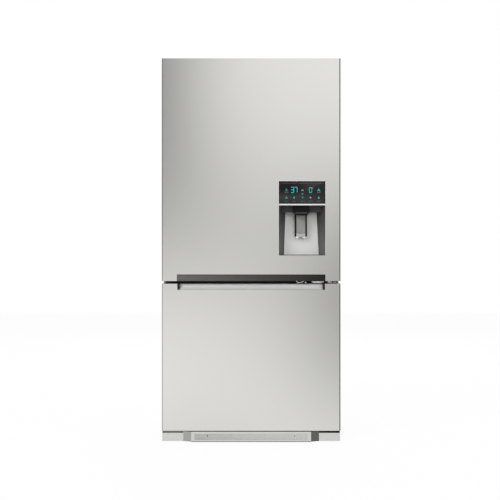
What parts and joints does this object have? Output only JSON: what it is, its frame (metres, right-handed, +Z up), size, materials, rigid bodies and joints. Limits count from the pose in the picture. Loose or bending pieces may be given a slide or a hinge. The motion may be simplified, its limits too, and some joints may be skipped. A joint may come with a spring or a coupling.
{
  "type": "fridge freezer",
  "caption": "Free-standing fridge freezer: hinged fridge door with a water and ice dispenser over a pull-out freezer drawer, in brushed steel with a grey plinth.",
  "frame": {"origin": "on the floor, at the centre of the overall width and depth", "axes": "+X to the right seen from the front, where the door hinges are; +Y to the back, so the doors face -Y; +Z up"},
  "size_m": [0.79, 0.695, 1.7],
  "materials": {
    "cabinet_shell": "textured grey paint",
    "back_panels": "galvanised",
    "cabinet_foam": "closed-cell foam",
    "fridge_liner": "smooth",
    "freezer_liner": "smooth",
    "base_frame": "galvanised",
    "plinth": "silver-grey paint",
    "compressor": "black paint",
    "condenser": "bare fins",
    "drain_pan": "matte",
    "rear_cover": "galvanised",
    "water_valve": "matte",
    "cord_gland": "matte",
    "evaporator": "bare",
    "evaporator_cover": "smooth",
    "fridge_duct": "smooth",
    "ceiling_console": "smooth",
    "shelf_glass": "clear",
    "shelf_trims": "silver",
    "crisper_frame": "smooth",
    "fixed_rails": "galvanised",
    "top_hinge": "zinc plated",
    "top_hinge_cover": "matte grey",
    "middle_hinge": "bright plated",
    "fridge_door_skin": "vertical fine grain, satin",
    "fridge_door_foam": "closed-cell foam",
    "fridge_door_liner": "smooth",
    "fridge_door_top_cap": "grey",
    "pull_strip": "satin dark grey",
    "fridge_door_gasket": "soft grey",
    "control_panel": "glossy black",
    "dispenser_housing": "dark grey satin",
    "dispenser_trim": "satin",
    "dispenser_spout": "black",
    "drip_grille": "grey",
    "ice_box": "smooth",
    "ice_bin": "clear",
    "door_bins": "clear",
    "freezer_front_skin": "vertical fine grain, satin",
    "freezer_front_foam": "closed-cell foam",
    "freezer_front_liner": "smooth",
    "freezer_front_caps": "satin dark grey",
    "freezer_gasket": "soft grey",
    "freezer_bin": "clear",
    "drawer_rails": "galvanised",
    "ice_auger": "bright",
    "dairy_lid": "clear",
    "paddle": "grey satin",
    "slide_middles": "galvanised",
    "freezer_tray": "clear",
    "left_crisper": "clear",
    "right_crisper": "clear",
    "humidity_slider": "matte",
    "water_filter": "smooth",
    "evaporator_fan": "matte",
    "condenser_fan": "matte",
    "left_roller": "matte",
    "right_roller": "matte",
    "left_foot": "matte",
    "right_foot": "matte"
  },
  "bodies": {
    "cabinet": {"cabinet_shell": "cabinet_shell", "back_panels": "back_panels", "cabinet_foam": "cabinet_foam", "fridge_liner": "fridge_liner", "freezer_liner": "freezer_liner", "base_frame": "base_frame", "plinth": "plinth", "compressor": "compressor", "condenser": "condenser", "drain_pan": "drain_pan", "rear_cover": "rear_cover", "water_valve": "water_valve", "cord_gland": "cord_gland", "evaporator": "evaporator", "evaporator_cover": "evaporator_cover", "fridge_duct": "fridge_duct", "ceiling_console": "ceiling_console", "shelf_glass": "shelf_glass", "shelf_trims": "shelf_trims", "crisper_frame": "crisper_frame", "fixed_rails": "fixed_rails", "top_hinge": "top_hinge", "top_hinge_cover": "top_hinge_cover", "middle_hinge": "middle_hinge"},
    "fridge_door": {"fridge_door_skin": "fridge_door_skin", "fridge_door_foam": "fridge_door_foam", "fridge_door_liner": "fridge_door_liner", "fridge_door_top_cap": "fridge_door_top_cap", "pull_strip": "pull_strip", "fridge_door_gasket": "fridge_door_gasket", "control_panel": "control_panel", "dispenser_housing": "dispenser_housing", "dispenser_trim": "dispenser_trim", "dispenser_spout": "dispenser_spout", "drip_grille": "drip_grille", "ice_box": "ice_box", "ice_bin": "ice_bin", "door_bins": "door_bins"},
    "freezer_drawer": {"freezer_front_skin": "freezer_front_skin", "freezer_front_foam": "freezer_front_foam", "freezer_front_liner": "freezer_front_liner", "freezer_front_caps": "freezer_front_caps", "freezer_gasket": "freezer_gasket", "freezer_bin": "freezer_bin", "drawer_rails": "drawer_rails"},
    "ice_auger": {"ice_auger": "ice_auger"},
    "dairy_lid": {"dairy_lid": "dairy_lid"},
    "paddle": {"paddle": "paddle"},
    "slide_middles": {"slide_middles": "slide_middles"},
    "freezer_tray": {"freezer_tray": "freezer_tray"},
    "left_crisper": {"left_crisper": "left_crisper"},
    "right_crisper": {"right_crisper": "right_crisper"},
    "humidity_slider": {"humidity_slider": "humidity_slider"},
    "water_filter": {"water_filter": "water_filter"},
    "evaporator_fan": {"evaporator_fan": "evaporator_fan"},
    "condenser_fan": {"condenser_fan": "condenser_fan"},
    "left_roller": {"left_roller": "left_roller"},
    "right_roller": {"right_roller": "right_roller"},
    "left_foot": {"left_foot": "left_foot"},
    "right_foot": {"right_foot": "right_foot"}
  },
  "joints": [
    {"name": "fridge_door_hinge", "type": "hinge", "parent": "cabinet", "child": "fridge_door", "pos_m": [0.373, -0.3075, 1.2], "axis": [0, 0, 1], "range_deg": [0, 120]},
    {"name": "dairy_lid_hinge", "type": "hinge", "parent": "fridge_door", "child": "dairy_lid", "pos_m": [-0.136, -0.2355, 1.494], "axis": [1, 0, 0], "range_deg": [0, 80]},
    {"name": "paddle_hinge", "type": "hinge", "parent": "fridge_door", "child": "paddle", "pos_m": [0.222, -0.2875, 1.012], "axis": [1, 0, 0], "range_deg": [0, 9], "stiffness_Nm_per_rad": 0.6, "springref_deg": -8.59},
    {"name": "ice_auger_spin", "type": "hinge", "parent": "fridge_door", "child": "ice_auger", "pos_m": [0.197, -0.1895, 1.2333], "axis": [1, 0, 0], "continuous": true},
    {"name": "freezer_drawer_slide", "type": "slide", "parent": "cabinet", "child": "freezer_drawer", "axis": [0, -1, 0], "range_m": [0, 0.4]},
    {"name": "slide_middles_slide", "type": "slide", "parent": "cabinet", "child": "slide_middles", "axis": [0, -1, 0], "range_m": [0, 0.2]},
    {"name": "freezer_tray_slide", "type": "slide", "parent": "freezer_drawer", "child": "freezer_tray", "axis": [0, 1, 0], "range_m": [0, 0.085]},
    {"name": "left_crisper_slide", "type": "slide", "parent": "cabinet", "child": "left_crisper", "axis": [0, -1, 0], "range_m": [0, 0.045]},
    {"name": "right_crisper_slide", "type": "slide", "parent": "cabinet", "child": "right_crisper", "axis": [0, -1, 0], "range_m": [0, 0.045]},
    {"name": "humidity_slide", "type": "slide", "parent": "cabinet", "child": "humidity_slider", "axis": [1, 0, 0], "range_m": [0, 0.09]},
    {"name": "water_filter_turn", "type": "hinge", "parent": "cabinet", "child": "water_filter", "pos_m": [0.27, -0.02, 1.594], "axis": [0, 1, 0], "range_deg": [0, 90]},
    {"name": "evaporator_fan_spin", "type": "hinge", "parent": "cabinet", "child": "evaporator_fan", "pos_m": [0, 0.2315, 0.613], "axis": [0, 1, 0], "continuous": true},
    {"name": "condenser_fan_spin", "type": "hinge", "parent": "cabinet", "child": "condenser_fan", "pos_m": [0.009, 0.232, 0.12], "axis": [1, 0, 0], "continuous": true},
    {"name": "left_roller_spin", "type": "hinge", "parent": "cabinet", "child": "left_roller", "pos_m": [-0.345, 0.2975, 0.016], "axis": [1, 0, 0], "continuous": true},
    {"name": "right_roller_spin", "type": "hinge", "parent": "cabinet", "child": "right_roller", "pos_m": [0.345, 0.2975, 0.016], "axis": [1, 0, 0], "continuous": true},
    {"name": "left_foot_level", "type": "slide", "parent": "cabinet", "child": "left_foot", "axis": [0, 0, -1], "range_m": [0, 0.012]},
    {"name": "right_foot_level", "type": "slide", "parent": "cabinet", "child": "right_foot", "axis": [0, 0, -1], "range_m": [0, 0.012]}
  ],
  "couplings": [
    {"joint": "slide_middles_slide", "follows": "freezer_drawer_slide", "ratio": 0.5}
  ]
}
